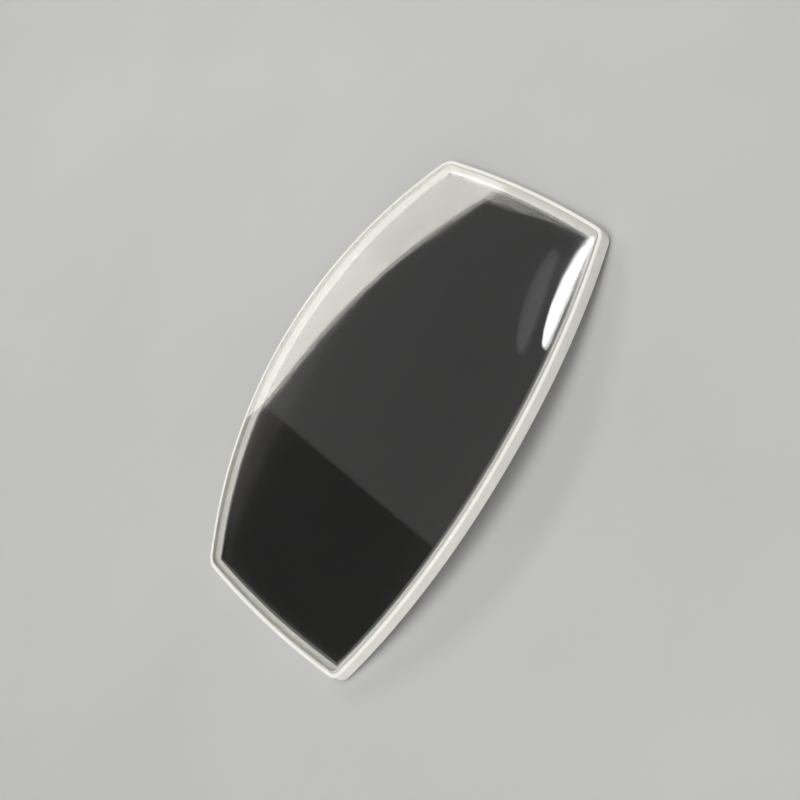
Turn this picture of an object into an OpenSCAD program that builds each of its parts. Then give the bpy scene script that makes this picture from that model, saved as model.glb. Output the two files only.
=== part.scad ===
// Barrel-shaped (tonneau) watch glass, arched along its length, in the
// moulded seal that grips its ground edge and lands on the case.
// The domed side is up. The origin is under the middle, at the level of the
// two ends, which are the lowest part of the arch. Y runs along the length.

/* [Glass outline] */
// Length of the glass, over the middle of its two ends
glass_length = 43.3; // [30:0.1:55]
// Width of the glass across the middle, where the barrel is widest
glass_mid_width = 29.9; // [23:0.1:45]
// Width of the glass at each end, between the unrounded corners
glass_end_width = 20.2; // [12:0.1:22.5]
// How far each end bows outwards at its middle
end_bow = 0.5; // [0.2:0.05:2.5]
// Radius of the four corners of the glass, seen from above
corner_radius = 1.1; // [0.9:0.05:3]

/* [Glass section] */
// Thickness of the glass, the same all over
glass_thickness = 1.1; // [0.8:0.05:2.5]
// Radius of the domed upper face, along the length
arch_radius = 116; // [70:1:400]

/* [Seal] */
// Thickness of the seal's wall around the edge of the glass
seal_wall = 0.35; // [0.25:0.05:1]
// How far the seal's lip reaches in under the glass
seal_lip_reach = 0.8; // [0.3:0.05:0.85]
// Thickness of the lip, between the glass and the case
seal_lip_thickness = 0.2; // [0.15:0.05:0.6]
// How far the seal's top stops below the glass, which stands proud of it
seal_drop = 0.1; // [0.05:0.05:0.5]
// Gap between glass and seal: 0 is face to face, as the seal is stretched on
seal_fit = 0; // [0:0.01:0.05]

/* [Hidden] */

glass_colour = [0.80, 0.84, 0.85, 0.45];
seal_colour = [0.93, 0.92, 0.87];

// A side of the barrel is one arc, through both corners and the widest point.
side_sagitta = (glass_mid_width - glass_end_width) / 2;
corner_y = glass_length / 2 - end_bow;
side_radius = arc_radius(2 * corner_y, side_sagitta);
side_centre = glass_mid_width / 2 - side_radius;
end_radius = arc_radius(glass_end_width, end_bow);
end_centre = glass_length / 2 - end_radius;

// Centre of the round that is tangent inside both arcs, at the +X +Y corner.
corner_centre = meeting_point([side_centre, 0], side_radius - corner_radius,
                              [0, end_centre], end_radius - corner_radius);

// The seal follows the outline of the glass at these distances from its edge.
seal_inside = seal_fit;
seal_outside = seal_fit + seal_wall;
lip_inside = -seal_lip_reach;

// Every arched face is a cylinder on one axis, which lies along X below.
glass_under_radius = arch_radius - glass_thickness;
lip_top_radius = glass_under_radius - seal_fit;
lip_under_radius = lip_top_radius - seal_lip_thickness;
seal_top_radius = arch_radius - seal_drop;
overall_length = glass_length + 2 * seal_outside;
arch_axis_z = -sqrt(pow(lip_under_radius, 2) - pow(overall_length / 2, 2));

// A corner's round is this much larger than the arcs it runs into allow, so
// that it crosses them and doesn't only touch them.
round_overlap = 0.001;

// Blocks that only bound the shells reach this far past the part.
spare = 2;
bound_width = glass_mid_width + 2 * (seal_outside + spare);
bound_height = arch_radius + arch_axis_z + spare;

// Smoothness of the curves on screen
arch_fn = 720;
outline_fn = 720;
corner_fn = 96;

// Radius of the arc that rises by sagitta in the middle of a chord.
function arc_radius(chord, sagitta) =
    (pow(chord / 2, 2) + pow(sagitta, 2)) / (2 * sagitta);

// Where two circles cross, on the side away from the part's middle.
function meeting_point(centre_a, radius_a, centre_b, radius_b) =
    let (between = centre_b - centre_a,
         apart = norm(between),
         along = (pow(apart, 2) + pow(radius_a, 2) - pow(radius_b, 2)) / (2 * apart),
         across = sqrt(pow(radius_a, 2) - pow(along, 2)),
         unit = between / apart,
         left = [-unit[1], unit[0]],
         first = centre_a + along * unit + across * left,
         second = centre_a + along * unit - across * left)
    first[0] + first[1] > second[0] + second[1] ? first : second;

// A point level with corner_centre, out past the arc about arc_centre, on the
// straight line through both centres: a corner's round meets the arc on it.
function past_arc(arc_centre) =
    corner_centre + (corner_radius + spare) * (corner_centre - arc_centre)
                    / norm(corner_centre - arc_centre);

// The barrel outline with sharp corners, grown outwards from the glass by grow.
module sharp_barrel(grow) {
    intersection_for (side = [-1, 1]) {
        intersection() {
            translate([side * side_centre, 0])
                circle(r = side_radius + grow, $fn = outline_fn);
            translate([0, side * end_centre])
                circle(r = end_radius + grow, $fn = outline_fn);
        }
    }
}

// The wedge that holds the sharp tip of the +X +Y corner. Its two straight
// edges cross the arcs square on, where the corner's round meets them.
module corner_wedge() {
    past_side = past_arc([side_centre, 0]);
    past_end = past_arc([0, end_centre]);
    polygon([corner_centre, past_side, [past_side[0], past_end[1]], past_end]);
}

// The outline with its four corners rounded, grown from the glass by grow.
module barrel(grow) {
    difference() {
        sharp_barrel(grow);
        for (x = [0, 1], y = [0, 1])
            mirror([x, 0]) mirror([0, y]) corner_wedge();
    }
    for (x = [-1, 1], y = [-1, 1])
        translate([x * corner_centre[0], y * corner_centre[1]])
            circle(r = corner_radius + grow + round_overlap, $fn = corner_fn);
}

// A cylinder along X, on the axis that all the arched faces share.
module arch_cylinder(radius) {
    translate([-bound_width / 2, 0, arch_axis_z])
        rotate([0, 90, 0])
            cylinder(r = radius, h = bound_width, $fn = arch_fn);
}

// The barrel outline, cut between an upper and a lower arched face.
module arched_barrel(grow, top_radius, under_radius) {
    difference() {
        intersection() {
            linear_extrude(height = bound_height) barrel(grow);
            arch_cylinder(top_radius);
        }
        arch_cylinder(under_radius);
    }
}

// The pane: both faces arched and polished, its edge square and ground.
module crystal() {
    color(glass_colour)
        arched_barrel(0, arch_radius, glass_under_radius);
}

// The seal: an L-shaped section, a wall round the edge and a lip beneath.
module gasket() {
    color(seal_colour) {
        difference() {
            arched_barrel(seal_outside, seal_top_radius, lip_under_radius);
            arched_barrel(seal_inside, arch_radius, lip_top_radius);
            translate([0, 0, -spare])
                linear_extrude(height = bound_height + spare) barrel(lip_inside);
        }
    }
}

crystal();
gasket();
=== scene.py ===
# %% [markdown]
# # A barrel-shaped watch glass in its seal
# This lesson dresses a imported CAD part: the curved glass of a wristwatch, with a
# cream sealing ring round its edge. The CAD part fixes every size and place. The work
# here is what makes glass look like glass: a dense smooth arch, small rounded edges
# that catch the light, a ground edge, and a seal with the dull bloom of moulded nylon.

# %% Load the frame
import math
import bpy
from mathutils import Matrix, Vector


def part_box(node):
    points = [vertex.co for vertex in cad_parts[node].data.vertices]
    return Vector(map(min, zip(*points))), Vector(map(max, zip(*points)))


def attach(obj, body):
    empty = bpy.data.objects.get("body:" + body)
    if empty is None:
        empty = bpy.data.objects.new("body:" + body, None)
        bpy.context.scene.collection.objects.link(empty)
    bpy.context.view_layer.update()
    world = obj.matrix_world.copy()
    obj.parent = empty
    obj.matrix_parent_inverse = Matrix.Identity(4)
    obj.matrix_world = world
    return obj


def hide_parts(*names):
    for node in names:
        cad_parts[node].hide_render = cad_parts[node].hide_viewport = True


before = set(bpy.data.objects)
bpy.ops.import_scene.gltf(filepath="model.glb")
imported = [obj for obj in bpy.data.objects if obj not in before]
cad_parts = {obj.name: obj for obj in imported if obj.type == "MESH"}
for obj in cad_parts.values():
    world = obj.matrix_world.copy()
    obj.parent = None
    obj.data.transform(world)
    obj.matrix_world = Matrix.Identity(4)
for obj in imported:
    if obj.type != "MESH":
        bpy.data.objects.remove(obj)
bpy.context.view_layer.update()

MM = 0.001
TINY = 0.001 * MM
glass_high = Vector(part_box("crystal")[1])
seal_low, seal_high = (Vector(corner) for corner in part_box("gasket"))

# %% [markdown]
# The real pane is sawn to a barrel outline, slumped to an arch, and its edge is ground
# matt. So all of its edges are one line, the barrel, drawn larger or smaller and laid
# on arches of different radius. The same few numbers draw the seal too. They are read
# from the CAD boxes where a box gives them, and named here where it doesn't.

# %% The numbers of the barrel and the arch
half_length = glass_high.y
half_width = glass_high.x
half_end_width = 10.1 * MM
end_bow = 0.5 * MM
corner_radius = 1.1 * MM
glass_thickness = 1.1 * MM
seal_wall = seal_high.x - glass_high.x
seal_drop = 0.1 * MM
lip_reach = 0.8 * MM
lip_thickness = 0.2 * MM
glass_top = 116.0 * MM
glass_under = glass_top - glass_thickness
seal_top = glass_top - seal_drop
seal_under = glass_under - lip_thickness
arch_axis = glass_high.z - glass_top
print("seal wall, mm:", round(seal_wall / MM, 3))
print("arch axis at z, mm:", round(arch_axis / MM, 2))

# %% [markdown]
# Each side and each end of the barrel is one arc, and a small round joins them. An arc
# is known by its chord and its rise. The round's centre lies where two slightly
# smaller arcs cross, because the round stands one radius inside both.

# %% Where the three arcs of a quarter barrel have their centres


def arc_radius(half_chord, rise):
    return (half_chord ** 2 + rise ** 2) / (2 * rise)


def outer_crossing(centre_a, radius_a, centre_b, radius_b):
    """Where two circles cross, on the side that points away from the middle."""
    between = centre_b - centre_a
    along = (between.length ** 2 + radius_a ** 2 - radius_b ** 2) / (2 * between.length)
    across = math.sqrt(radius_a ** 2 - along ** 2)
    unit = between.normalized()
    left = Vector((-unit.y, unit.x, 0))
    crossings = [centre_a + along * unit + side * across * left for side in (1, -1)]
    return max(crossings, key=lambda point: point.x + point.y)


side_radius = arc_radius(half_length - end_bow, half_width - half_end_width)
side_centre = Vector((half_width - side_radius, 0, 0))
end_radius = arc_radius(half_end_width, end_bow)
end_centre = Vector((0, half_length - end_radius, 0))
round_centre = outer_crossing(side_centre, side_radius - corner_radius,
                              end_centre, end_radius - corner_radius)
to_side = round_centre - side_centre
to_end = round_centre - end_centre
side_turn = math.atan2(to_side.y, to_side.x)
round_turn = math.atan2(to_end.y, to_end.x) - side_turn
end_turn = math.pi / 2 - side_turn - round_turn
print("a corner turns through", round(math.degrees(round_turn), 1), "degrees")

# %% [markdown]
# Code that models by hand has to select as a hand does. These helpers clear what the
# frame left selected, pick vertices by their place, and press a modifier home.

# %% Helpers for selecting


def select_only(piece):
    bpy.ops.object.select_all(action="DESELECT")
    piece.select_set(True)
    bpy.context.view_layer.objects.active = piece


def select_vertices(piece, test):
    """Go to edit mode with the vertices selected whose place passes the test."""
    bpy.ops.object.mode_set(mode="EDIT")
    bpy.ops.mesh.select_mode(type="VERT")
    bpy.ops.mesh.select_all(action="DESELECT")
    bpy.ops.object.mode_set(mode="OBJECT")
    for vertex in piece.data.vertices:
        vertex.select = test(vertex.co)
    bpy.ops.object.mode_set(mode="EDIT")


def apply_all_modifiers(piece):
    select_only(piece)
    for modifier in list(piece.modifiers):
        bpy.ops.object.modifier_apply(modifier=modifier.name)


# %% [markdown]
# Spin draws an arc from a single point: it copies the point round a centre and joins
# the copies. Three spins in a row, each about its own centre, draw a quarter of the
# barrel. A mesh circle could be pushed into shape instead, but its points would bunch
# up, and no arc would be a true one. The point itself is a small plane whose four
# corners are merged into one.

# %% Draw a quarter of the barrel, grown outwards from the edge of the glass
SIDE_STEPS = 48
ROUND_STEPS = 12
END_STEPS = 20
LEVEL_GAP = 0.2 * MM


def draw_quarter(name, grow, level):
    """One line of the drawing, at its own height so that it can be found again."""
    height = Vector((0, 0, level * LEVEL_GAP))
    bpy.ops.object.select_all(action="DESELECT")
    bpy.ops.mesh.primitive_plane_add(size=MM)
    line = bpy.context.object
    line.name = name
    bpy.ops.object.mode_set(mode="EDIT")
    bpy.ops.mesh.select_all(action="SELECT")
    bpy.ops.mesh.merge(type="CENTER")
    bpy.ops.transform.translate(value=Vector((half_width + grow, 0, 0)) + height)
    arcs = [(SIDE_STEPS, side_turn, side_centre), (ROUND_STEPS, round_turn, round_centre),
            (END_STEPS, end_turn, end_centre)]
    for steps, turn, centre in arcs:
        bpy.ops.mesh.spin(steps=steps, angle=-turn, center=centre + height, axis=(0, 0, 1))
    bpy.ops.object.mode_set(mode="OBJECT")
    return line


# %% [markdown]
# A piece is a stack of such lines. Its cross-section says how far each line is grown
# and on which arch it will lie. No edge of a real moulded or polished piece is sharp,
# so each corner of the section becomes a small arc, with one more line on either side
# of it. Those two hold the flat faces flat when the shading is smoothed.

# %% Round the corners of a section
ARC_STEPS = 5
HOLD = 0.02 * MM


def rounded(before, corner, after, radius):
    """Points round one square corner of a section, with a holding point at each end."""
    back = (before - corner).normalized()
    ahead = (after - corner).normalized()
    centre = corner + radius * (back + ahead)
    points = [corner + (radius + HOLD) * back]
    for step in range(ARC_STEPS + 1):
        turn = math.pi / 2 * step / ARC_STEPS
        points.append(centre - radius * (math.cos(turn) * ahead + math.sin(turn) * back))
    points.append(corner + (radius + HOLD) * ahead)
    return points


# %% [markdown]
# The lines of a section become a skin by bridging each one to the next. A ring also
# bridges its last line to its first. Only a quarter has been drawn, so a Mirror
# modifier makes the other three, which keeps the piece the same on all four sides, as
# the real one is. Each line lies at a height of its own, so a pair is found by height.

# %% Join the lines of a section into a skin


def draw_skin(name, section, is_ring):
    """Lines drawn level by level, bridged in order, and mirrored into a whole barrel."""
    lines = [draw_quarter(name, grow, level) for level, (grow, _) in enumerate(section)]
    for line in lines:
        line.select_set(True)
    piece = lines[0]
    bpy.context.view_layer.objects.active = piece
    bpy.ops.object.join()
    pairs = [(level, level + 1) for level in range(len(section) - 1)]
    if is_ring:
        pairs.append((len(section) - 1, 0))
    for pair in pairs:
        heights = [level * LEVEL_GAP for level in pair]
        select_vertices(piece, lambda co: any(abs(co.z - h) < TINY for h in heights))
        bpy.ops.mesh.bridge_edge_loops()
        bpy.ops.object.mode_set(mode="OBJECT")
    mirror = piece.modifiers.new("whole_barrel", "MIRROR")
    mirror.use_axis = (True, True, False)
    mirror.merge_threshold = TINY / 10
    apply_all_modifiers(piece)
    return piece


# %% [markdown]
# A glassworker lets a flat sheet down on a curved former. The drawing is let down the
# same way: a Shrinkwrap modifier drops every line straight down on a long cylinder of
# that line's own radius. Bend could curve the whole stack at once, but it would fan the
# walls outwards, and the real ones stand upright.

# %% Let the flat drawing down on its arches
FORMER_SIDES = 2048


def settle_on_arch(piece, section):
    """Drop each line of the drawing on the former that its section point names."""
    on_arch = {}
    for vertex in piece.data.vertices:
        radius = section[round(vertex.co.z / LEVEL_GAP)].y
        on_arch.setdefault(round(radius, 8), []).append(vertex.index)
    print(piece.name, "is let down on", len(on_arch), "formers")
    for radius, members in on_arch.items():
        bpy.ops.object.select_all(action="DESELECT")
        bpy.ops.mesh.primitive_cylinder_add(
            vertices=FORMER_SIDES, radius=radius, depth=4 * half_width,
            location=(0, 0, arch_axis), rotation=(0, math.pi / 2, 0))
        former = bpy.context.object
        group = piece.vertex_groups.new(name="to_drop")
        group.add(members, 1.0, "REPLACE")
        drop = piece.modifiers.new("drop", "SHRINKWRAP")
        drop.vertex_group = group.name
        drop.target = former
        drop.wrap_method = "PROJECT"
        drop.use_project_z = True
        drop.use_negative_direction = True
        apply_all_modifiers(piece)
        bpy.data.objects.remove(former)
        piece.vertex_groups.clear()


def finish_mesh(piece):
    """Turn all faces outwards, shade them smooth and measure the piece."""
    select_only(piece)
    bpy.ops.object.mode_set(mode="EDIT")
    bpy.ops.mesh.select_all(action="SELECT")
    bpy.ops.mesh.normals_make_consistent(inside=False)
    bpy.ops.object.mode_set(mode="OBJECT")
    bpy.ops.object.shade_smooth()
    xs, ys, zs = zip(*(v.co for v in piece.data.vertices))
    spans = [(max(values) - min(values)) / MM for values in (xs, ys, zs)]
    print(piece.name, "spans, mm:", [round(span, 2) for span in spans],
          "faces:", len(piece.data.polygons))


# %% [markdown]
# The pane is one piece of mineral glass. Its two broad faces are polished and its edge
# is ground, with a small rounding where they meet. It is kept a few hundredths of a
# millimetre clear of the seal, as a dry fit is, so that the faces don't fight. Two
# extra lines on the underside mark where a dark coat starts and where it is full. That
# coat is painted shade: it darkens a face that is really clear glass. The section
# could be extruded in one go, but drawn as lines it gets its rounded edges too.

# %% Model the pane
DRY_FIT = 0.02 * MM
edge_rounding = 0.14 * MM
# Where the painted shade on the underside starts and how far it fades in.
painted_shade_fade = 0.35 * MM
painted_shade_start = lip_reach
painted_shade_full = lip_reach + painted_shade_fade
rim_flat = 0.3 * MM

wall = -DRY_FIT
low_corner = Vector((wall, glass_under + DRY_FIT))
high_corner = Vector((wall, glass_top))
high_end = high_corner - Vector((rim_flat, 0))
underside = [Vector((-reach, low_corner.y)) for reach in (painted_shade_full, painted_shade_start)]
pane_section = list(underside)
pane_section += rounded(underside[-1], low_corner, high_corner, edge_rounding)
pane_section += rounded(low_corner, high_corner, high_end, edge_rounding)
pane_section += [high_end]
pane = draw_skin("watch_glass_pane", pane_section, is_ring=False)
print("lines in the pane:", len(pane_section))

# %% [markdown]
# Both broad faces are still open. An n-gon would close one in a single step, but an
# n-gon can't follow an arch. So the left and right halves of the rim are bridged with
# rungs that run straight across, along which the arch has no curve at all. That leaves
# a small gap at each end, between the middle point and the two beside it. They lie one
# step of the end arc away, so a reach of a step and a half picks them and no others.

# %% Close the two broad faces with rungs
END_REACH = 1.5
near_middle = END_REACH * half_end_width / END_STEPS


def close_face(piece, level):
    """Bridge the halves, then fill the small gap that is left in the middle of each end."""
    height = level * LEVEL_GAP
    select_vertices(piece, lambda co: abs(co.z - height) < TINY and abs(co.x) > TINY)
    bpy.ops.mesh.bridge_edge_loops()
    for end in (1, -1):
        select_vertices(piece, lambda co: abs(co.z - height) < TINY
                        and abs(co.x) < near_middle and co.y * end > 0)
        bpy.ops.mesh.edge_face_add()
    bpy.ops.object.mode_set(mode="OBJECT")


close_face(pane, 0)
close_face(pane, len(pane_section) - 1)
print("faces in the closed pane:", len(pane.data.polygons))

# %% [markdown]
# The dark coat lies on the underside only, inside the seal's lip, so that the lip still
# shows pale through clear glass. The coat is painted shade: it darkens a face that is
# really clear glass. The innermost line of the underside is marked with a vertex
# attribute, and the finish reads it. While the drawing is still flat that line is easy
# to find, so the mark is made before the pane is let down.

# %% Mark the painted shade and let the pane down
# The mark for the painted shade: 1 on the innermost line of the underside.
painted_shade_mark = pane.data.attributes.new("painted_shade_mark", "FLOAT", "POINT")
for vertex in pane.data.vertices:
    painted_shade_mark.data[vertex.index].value = 1.0 if abs(vertex.co.z) < TINY else 0.0
settle_on_arch(pane, pane_section)
finish_mesh(pane)

# %% [markdown]
# The seal is one moulded ring of L-shaped section. Its wall fills the gap between glass
# and case, and its thin lip runs under the rim of the glass as a cushion. Moulding
# leaves its outer corners softer than its inner ones. Its drawing is made in the same
# way as the pane's, so that the two follow one outline, and only its section differs.

# %% Model the seal
soft_corner = 0.11 * MM
fine_corner = 0.04 * MM

seal_corners = [
    (Vector((seal_wall, seal_under)), soft_corner),
    (Vector((seal_wall, seal_top)), soft_corner),
    (Vector((0, seal_top)), fine_corner),
    (Vector((0, glass_under)), fine_corner),
    (Vector((-lip_reach, glass_under)), fine_corner),
    (Vector((-lip_reach, seal_under)), fine_corner),
]
seal_section = []
for turn, (corner, radius) in enumerate(seal_corners):
    before = seal_corners[turn - 1][0]
    after = seal_corners[(turn + 1) % len(seal_corners)][0]
    seal_section += rounded(before, corner, after, radius)
seal = draw_skin("watch_glass_seal", seal_section, is_ring=True)
settle_on_arch(seal, seal_section)
finish_mesh(seal)
print("lines in the seal:", len(seal_section))

# %% [markdown]
# Surfaces that look plain are not: nylon is faintly cloudy and grained, ground glass
# sparkles, and even wiped glass keeps a film that blurs a reflection a little. All
# three are noise of different sizes, so one node group makes the noise and each
# material scales it. Sizes are given in millimetres, so the group turns metres to
# millimetres first.

# %% A node group that makes cloudiness and grain
CLOUD_DETAIL = 4.0
GRAIN_DETAIL = 2.0


def link(tree, source, target):
    tree.links.new(source, target)


def build_texture_group():
    group = bpy.data.node_groups.new("cloud_and_grain", "ShaderNodeTree")
    for name, default in (("Cloud Size", 2.0), ("Grain Size", 0.1), ("Grain Share", 0.5)):
        socket = group.interface.new_socket(name, in_out="INPUT", socket_type="NodeSocketFloat")
        socket.default_value = default
    for name in ("Cloud", "Grain", "Both"):
        group.interface.new_socket(name, in_out="OUTPUT", socket_type="NodeSocketFloat")
    inputs = group.nodes.new("NodeGroupInput")
    outputs = group.nodes.new("NodeGroupOutput")
    place = group.nodes.new("ShaderNodeTexCoord")
    millimetres = group.nodes.new("ShaderNodeVectorMath")
    millimetres.operation = "SCALE"
    millimetres.inputs["Scale"].default_value = 1 / MM
    link(group, place.outputs["Object"], millimetres.inputs[0])
    made = {}
    for name, detail in (("Cloud", CLOUD_DETAIL), ("Grain", GRAIN_DETAIL)):
        per_size = group.nodes.new("ShaderNodeMath")
        per_size.operation = "DIVIDE"
        per_size.inputs[0].default_value = 1.0
        link(group, inputs.outputs[name + " Size"], per_size.inputs[1])
        noise = group.nodes.new("ShaderNodeTexNoise")
        noise.inputs["Detail"].default_value = detail
        link(group, millimetres.outputs[0], noise.inputs["Vector"])
        link(group, per_size.outputs[0], noise.inputs["Scale"])
        link(group, noise.outputs["Fac"], outputs.inputs[name])
        made[name] = noise.outputs["Fac"]
    mix = group.nodes.new("ShaderNodeMix")
    link(group, inputs.outputs["Grain Share"], mix.inputs["Factor"])
    link(group, made["Cloud"], mix.inputs["A"])
    link(group, made["Grain"], mix.inputs["B"])
    link(group, mix.outputs["Result"], outputs.inputs["Both"])
    return group


cloud_and_grain = build_texture_group()
outputs_made = [item.name for item in cloud_and_grain.interface.items_tree
                if item.in_out == "OUTPUT"]
print("group outputs:", outputs_made)

# %% [markdown]
# Every finish starts the same way: a Principled shader, the noise group beside it, and
# ramps from noise to a colour or a roughness. These helpers keep the recipes short.
# Noise hardly ever comes near 0 or 1, so its middle part is spread over the whole ramp.

# %% Helpers for materials
NOISE_LOW = 0.3
NOISE_HIGH = 0.7


def new_finish(name, cloud_size, grain_size, grain_share):
    """A new material with the noise group in it, its sizes in millimetres."""
    material = bpy.data.materials.new(name)
    material.use_nodes = True
    tree = material.node_tree
    shader = tree.nodes["Principled BSDF"]
    texture = tree.nodes.new("ShaderNodeGroup")
    texture.node_tree = cloud_and_grain
    texture.inputs["Cloud Size"].default_value = cloud_size
    texture.inputs["Grain Size"].default_value = grain_size
    texture.inputs["Grain Share"].default_value = grain_share
    print(name, "clouds, mm:", cloud_size, "grain, mm:", grain_size)
    return material, tree, shader, texture


def ramp_value(tree, source, target, low, high):
    """Spread the middle of the noise over a range of values."""
    spread = tree.nodes.new("ShaderNodeMapRange")
    spread.inputs["From Min"].default_value = NOISE_LOW
    spread.inputs["From Max"].default_value = NOISE_HIGH
    spread.inputs["To Min"].default_value = low
    spread.inputs["To Max"].default_value = high
    link(tree, source, spread.inputs["Value"])
    link(tree, spread.outputs["Result"], target)


def ramp_colour(tree, source, target, dark, light):
    """Spread the middle of the noise over a range of colours."""
    ramp = tree.nodes.new("ShaderNodeValToRGB")
    ramp.color_ramp.elements[0].position = NOISE_LOW
    ramp.color_ramp.elements[0].color = (*dark, 1)
    ramp.color_ramp.elements[1].position = NOISE_HIGH
    ramp.color_ramp.elements[1].color = (*light, 1)
    link(tree, source, ramp.inputs["Fac"])
    link(tree, ramp.outputs["Color"], target)


def add_bump(tree, source, shader, height):
    """Let the noise stand up from the surface, at most by this height."""
    bump = tree.nodes.new("ShaderNodeBump")
    bump.inputs["Distance"].default_value = height
    link(tree, source, bump.inputs["Height"])
    link(tree, bump.outputs["Normal"], shader.inputs["Normal"])


# %% [markdown]
# A renderer can't aim at a light through bent glass, so what lies under it, such as the
# lip of the seal, would look too dark. For shadows alone the glass is therefore swapped
# for plain transparency in the same tint. Some light already arrives by bending, so only
# a share of it goes straight: the Value of a Hue/Saturation node scales the tint down.

# %% Let light reach what lies under the glass
STRAIGHT_SHARE = 0.3


def let_light_through(tree, shader, colour):
    """A share of the light goes straight on to what lies below, tinted by the glass."""
    path = tree.nodes.new("ShaderNodeLightPath")
    share = tree.nodes.new("ShaderNodeHueSaturation")
    straight = tree.nodes.new("ShaderNodeBsdfTransparent")
    mix = tree.nodes.new("ShaderNodeMixShader")
    share.inputs["Value"].default_value = STRAIGHT_SHARE
    link(tree, colour, share.inputs["Color"])
    link(tree, share.outputs["Color"], straight.inputs["Color"])
    link(tree, path.outputs["Is Shadow Ray"], mix.inputs["Fac"])
    link(tree, shader.outputs["BSDF"], mix.inputs[1])
    link(tree, straight.outputs["BSDF"], mix.inputs[2])
    link(tree, mix.outputs["Shader"], tree.nodes["Material Output"].inputs["Surface"])


# %% [markdown]
# Polished mineral glass is a Principled shader with full transmission and an index of
# 1.52. Its colour is that of clear glass, or, where the mark says so, a neutral dark
# painted shade that darkens the face, though the real glass is clear. The painted shade
# has a soft edge, and grain eats into it. The wiped film only shows as a roughness that
# wanders between nothing and very little. Glass could also be mixed from a Refraction
# and a Glossy shader, but the Principled one keeps the two in balance by itself.

# %% Polished glass
GLASS_INDEX = 1.52
GRAIN_BITE = 0.6
FULL_MARK = 0.9
CLEAR = (0.98, 0.98, 0.97, 1)
# Dark painted shade for the underside inside the lip; the real glass is clear.
PAINTED_SHADE = (0.032, 0.031, 0.030, 1)


def make_polished_glass():
    material, tree, shader, texture = new_finish(
        "polished_glass", cloud_size=6.0, grain_size=0.12, grain_share=0.25)
    shader.inputs["Metallic"].default_value = 0.0
    shader.inputs["Transmission Weight"].default_value = 1.0
    shader.inputs["IOR"].default_value = GLASS_INDEX
    mark = tree.nodes.new("ShaderNodeAttribute")
    mark.attribute_name = "painted_shade_mark"
    eaten = tree.nodes.new("ShaderNodeMapRange")
    eaten.interpolation_type = "SMOOTHSTEP"
    eaten.inputs["From Max"].default_value = FULL_MARK
    link(tree, mark.outputs["Fac"], eaten.inputs["Value"])
    scaled = tree.nodes.new("ShaderNodeMath")
    scaled.operation = "MULTIPLY"
    scaled.inputs[1].default_value = GRAIN_BITE
    link(tree, texture.outputs["Grain"], scaled.inputs[0])
    link(tree, scaled.outputs[0], eaten.inputs["From Min"])
    colour = tree.nodes.new("ShaderNodeMix")
    colour.data_type = "RGBA"
    # The second colour is the painted shade.
    clear, shade_socket = (socket for socket in colour.inputs if socket.type == "RGBA")
    clear.default_value = CLEAR
    shade_socket.default_value = PAINTED_SHADE
    link(tree, eaten.outputs["Result"], colour.inputs["Factor"])
    result = next(socket for socket in colour.outputs if socket.type == "RGBA")
    link(tree, result, shader.inputs["Base Color"])
    ramp_value(tree, texture.outputs["Both"], shader.inputs["Roughness"],
               low=0.004, high=0.03)
    let_light_through(tree, shader, result)
    return material


polished_glass = make_polished_glass()

# %% [markdown]
# The edge is ground with coarse grit and left matt, so it scatters light and looks
# frosted and pale. It is the same glass with a high, grainy roughness, and a bump. Real
# grinding could be carved into the mesh, but its grit is far finer than any face.

# %% Ground glass


def make_ground_glass():
    material, tree, shader, texture = new_finish(
        "ground_glass_edge", cloud_size=1.2, grain_size=0.05, grain_share=0.6)
    shader.inputs["Metallic"].default_value = 0.0
    shader.inputs["Transmission Weight"].default_value = 0.4
    shader.inputs["IOR"].default_value = GLASS_INDEX
    ramp_colour(tree, texture.outputs["Both"], shader.inputs["Base Color"],
                dark=(0.74, 0.73, 0.70), light=(0.92, 0.91, 0.88))
    ramp_value(tree, texture.outputs["Both"], shader.inputs["Roughness"], low=0.35, high=0.6)
    add_bump(tree, texture.outputs["Grain"], shader, height=0.01 * MM)
    return material


ground_glass = make_ground_glass()

# %% [markdown]
# The seal is cream nylon: opaque, slightly waxy, a little cloudy, with the fine matt
# grain of its mould. Light goes a short way into it, which a touch of subsurface
# scattering gives.

# %% Cream nylon


def make_nylon():
    material, tree, shader, texture = new_finish(
        "cream_nylon", cloud_size=1.6, grain_size=0.09, grain_share=0.45)
    shader.inputs["Subsurface Weight"].default_value = 0.15
    shader.inputs["Subsurface Scale"].default_value = 0.3 * MM
    shader.inputs["Specular IOR Level"].default_value = 0.45
    ramp_colour(tree, texture.outputs["Both"], shader.inputs["Base Color"],
                dark=(0.82, 0.803, 0.74), light=(0.92, 0.903, 0.85))
    ramp_value(tree, texture.outputs["Both"], shader.inputs["Roughness"], low=0.38, high=0.58)
    add_bump(tree, texture.outputs["Grain"], shader, height=0.006 * MM)
    return material


cream_nylon = make_nylon()

# %% [markdown]
# The pane is two finishes on one piece: polished on the broad faces and ground on the
# edge. It could be split into two pieces, but the real pane is one, so each face picks
# its finish. The face's normal decides: the arch leans by 11 degrees at most, so a face
# that leans by more than about 14 belongs to the edge or its rounding. Then each piece is
# hung on its body, and the CAD part that it stands for is hidden.

# %% Give the pieces their finishes
STEEP = 0.97

pane.data.materials.clear()
pane.data.materials.append(polished_glass)
pane.data.materials.append(ground_glass)
for face in pane.data.polygons:
    face.material_index = 1 if abs(face.normal.z) < STEEP else 0
seal.data.materials.clear()
seal.data.materials.append(cream_nylon)
print("ground faces:", sum(face.material_index for face in pane.data.polygons))

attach(pane, "root")
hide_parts("crystal")
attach(seal, "root")
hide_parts("gasket")

# %% [markdown]
# The floor is a plain pale sheet, with the faintest unevenness so that it doesn't look
# computed. It belongs to the studio and not to the part. A backdrop swept up behind
# would do as well, but the light from all round already gives a pale horizon.

# %% The floor
FLOOR_SIDE = 3.0
FLOOR_ROUGHNESS = 0.8

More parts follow.
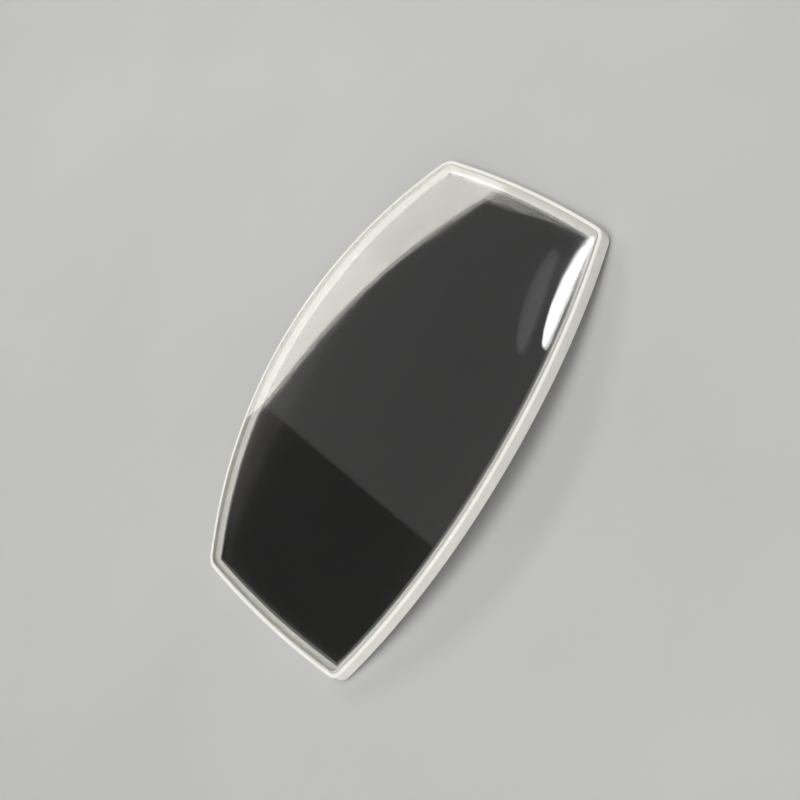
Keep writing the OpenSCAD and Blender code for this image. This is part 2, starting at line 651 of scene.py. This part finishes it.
bpy.ops.object.select_all(action="DESELECT")
bpy.ops.mesh.primitive_plane_add(size=FLOOR_SIDE, location=(0, 0, seal_low.z))
floor = bpy.context.object
floor.name = "studio_floor"
floor_paint, floor_tree, floor_shader, floor_texture = new_finish(
    "pale_floor", cloud_size=30.0, grain_size=1.0, grain_share=0.2)
ramp_colour(floor_tree, floor_texture.outputs["Cloud"], floor_shader.inputs["Base Color"],
            dark=(0.50, 0.50, 0.50), light=(0.53, 0.53, 0.525))
floor_shader.inputs["Roughness"].default_value = FLOOR_ROUGHNESS
floor.data.materials.append(floor_paint)

# %% [markdown]
# Polished glass shows its lights more than itself, so the lights are placed by what
# they should draw on it. A camera above one long side sees, in the arch, what stands
# above the far side. All those lights hang on one upright plane there, the backdrop,
# so that a place on the face belongs to a place on the plane.

# %% Helpers to place lights
BACKDROP = -150.0 * MM


def placed(right, top, back, place):
    """A matrix for something that looks against its back direction."""
    turned = Matrix((right, top, back)).transposed().to_4x4()
    return Matrix.Translation(place) @ turned


def soft_box(name, place, right, top, size, radiance, colour, shape="RECTANGLE"):
    """An area light of a given brightness, which the camera itself doesn't see."""
    light = bpy.data.lights.new(name, "AREA")
    light.shape = shape
    light.size, light.size_y = size
    fill = math.pi / 4 if shape == "ELLIPSE" else 1.0
    light.energy = radiance * math.pi * size[0] * size[1] * fill
    light.color = colour
    box = bpy.data.objects.new(name, light)
    bpy.context.scene.collection.objects.link(box)
    box.matrix_world = placed(right, top, right.cross(top), place)
    box.visible_camera = False
    print(name, "watts:", round(light.energy, 4))


def on_backdrop(name, place, slope, size, radiance, colour, shape="RECTANGLE"):
    """A light on the backdrop: place and size in millimetres, slope in degrees."""
    turn = math.radians(slope)
    right = Vector((0, math.cos(turn), math.sin(turn)))
    top = Vector((0, math.sin(turn), -math.cos(turn)))
    middle = Vector((BACKDROP, place[0] * MM, place[1] * MM))
    extent = (size[0] * MM, size[1] * MM)
    soft_box(name, middle, right, top, extent, radiance, colour, shape)


def towards_middle(name, place, side, radiance, colour):
    """A square light that faces the middle of the part, in millimetres."""
    middle = Vector(place) * MM
    back = middle.normalized()
    right = Vector((0, 0, 1)).cross(back).normalized()
    extent = (side * MM, side * MM)
    soft_box(name, middle, right, back.cross(right), extent, radiance, colour)


# %% [markdown]
# A wide card gives the pale band along the far edge, and a small one carries the band
# round the corner at its end. A long lamp gives the bright streak, and a weak one the glow
# beside it. A dim sheet gives the grey tone whose edge crosses the face, and a narrow
# strip makes that edge a touch lighter. Two large soft boxes that this camera doesn't
# see in the face light the floor and the rim. Bare lamps would be quicker to set, but
# glass mirrors a lamp as a hard dot.

# %% The lights
WARM = (1.0, 0.975, 0.91)
COOL = (0.97, 0.98, 1.0)
NEUTRAL = (1.0, 1.0, 1.0)

on_backdrop("far_card", place=(62, 108.5), slope=0, size=(220, 38), radiance=5.8,
            colour=WARM, shape="ELLIPSE")
on_backdrop("streak_lamp", place=(79, 169.6), slope=-23, size=(60, 4.3), radiance=17.0,
            colour=COOL, shape="ELLIPSE")
on_backdrop("faint_lamp", place=(66, 166), slope=-24, size=(52, 6), radiance=0.7,
            colour=COOL, shape="ELLIPSE")
on_backdrop("dim_sheet", place=(50, 172), slope=20, size=(200, 220), radiance=0.27,
            colour=NEUTRAL)
on_backdrop("sheet_hem", place=(-38, 140), slope=20, size=(14, 220), radiance=0.1,
            colour=NEUTRAL)
on_backdrop("end_card", place=(98, 137.2), slope=54.5, size=(40, 12), radiance=7.0,
            colour=WARM)
towards_middle("overhead_box", place=(180, -120, 960), side=900, radiance=2.8, colour=NEUTRAL)
towards_middle("near_box", place=(560, -440, 480), side=900, radiance=1.1, colour=NEUTRAL)

# %% [markdown]
# Light from all round fills the shadows. It is dim overhead, because it would be
# mirrored on the whole face, and pale towards the horizon, so that the floor seems to
# run on into a pale wall. The height of a direction, from 0 at the horizon to 1 straight
# up, picks the colour on a ramp.

# %% The light from all round
HORIZON = (0.72, 0.72, 0.72, 1)
HORIZON_ENDS = 10
OVERHEAD = (0.06, 0.06, 0.06, 1)
OVERHEAD_STARTS = 26

world = bpy.data.worlds.new("studio")
world.use_nodes = True
sky = world.node_tree
direction = sky.nodes.new("ShaderNodeTexCoord")
height = sky.nodes.new("ShaderNodeSeparateXYZ")
ramp = sky.nodes.new("ShaderNodeValToRGB")
ramp.color_ramp.elements[0].position = math.sin(math.radians(HORIZON_ENDS))
ramp.color_ramp.elements[0].color = HORIZON
ramp.color_ramp.elements[1].position = math.sin(math.radians(OVERHEAD_STARTS))
ramp.color_ramp.elements[1].color = OVERHEAD
link(sky, direction.outputs["Generated"], height.inputs["Vector"])
link(sky, height.outputs["Z"], ramp.inputs["Fac"])
link(sky, ramp.outputs["Color"], sky.nodes["Background"].inputs["Color"])
bpy.context.scene.world = world
bpy.context.scene.view_settings.view_transform = "Standard"
print("pale up to", HORIZON_ENDS, "degrees, dim from", OVERHEAD_STARTS, "degrees")

# %% [markdown]
# The camera looks down at 45 degrees on one long side and is rolled, so that the part
# lies aslant in the picture. Its small shift sets the part a little off the middle. It
# could be aimed with a Track To constraint, but that would leave no say in the roll.

# %% The camera
azimuth = math.radians(4.5)
elevation = math.radians(45.0)
roll = math.radians(-62.4)
distance = 132 * MM
LENS = 68.2
SHIFT = (-0.004, 0.0158)
NEAREST = 5 * MM

towards_camera = Vector((math.cos(elevation) * math.cos(azimuth),
                         math.cos(elevation) * math.sin(azimuth), math.sin(elevation)))
sideways = Vector((-math.sin(azimuth), math.cos(azimuth), 0))
upright = towards_camera.cross(sideways)
camera_right = math.cos(roll) * sideways + math.sin(roll) * upright
camera_top = math.cos(roll) * upright - math.sin(roll) * sideways
camera = bpy.data.objects.new("camera", bpy.data.cameras.new("camera"))
bpy.context.scene.collection.objects.link(camera)
camera.data.lens = LENS
camera.data.clip_start = NEAREST
camera.data.shift_x, camera.data.shift_y = SHIFT
camera.matrix_world = placed(camera_right, camera_top, towards_camera, distance * towards_camera)
bpy.context.scene.camera = camera
print("camera at, mm:", [round(v / MM, 1) for v in camera.matrix_world.translation])
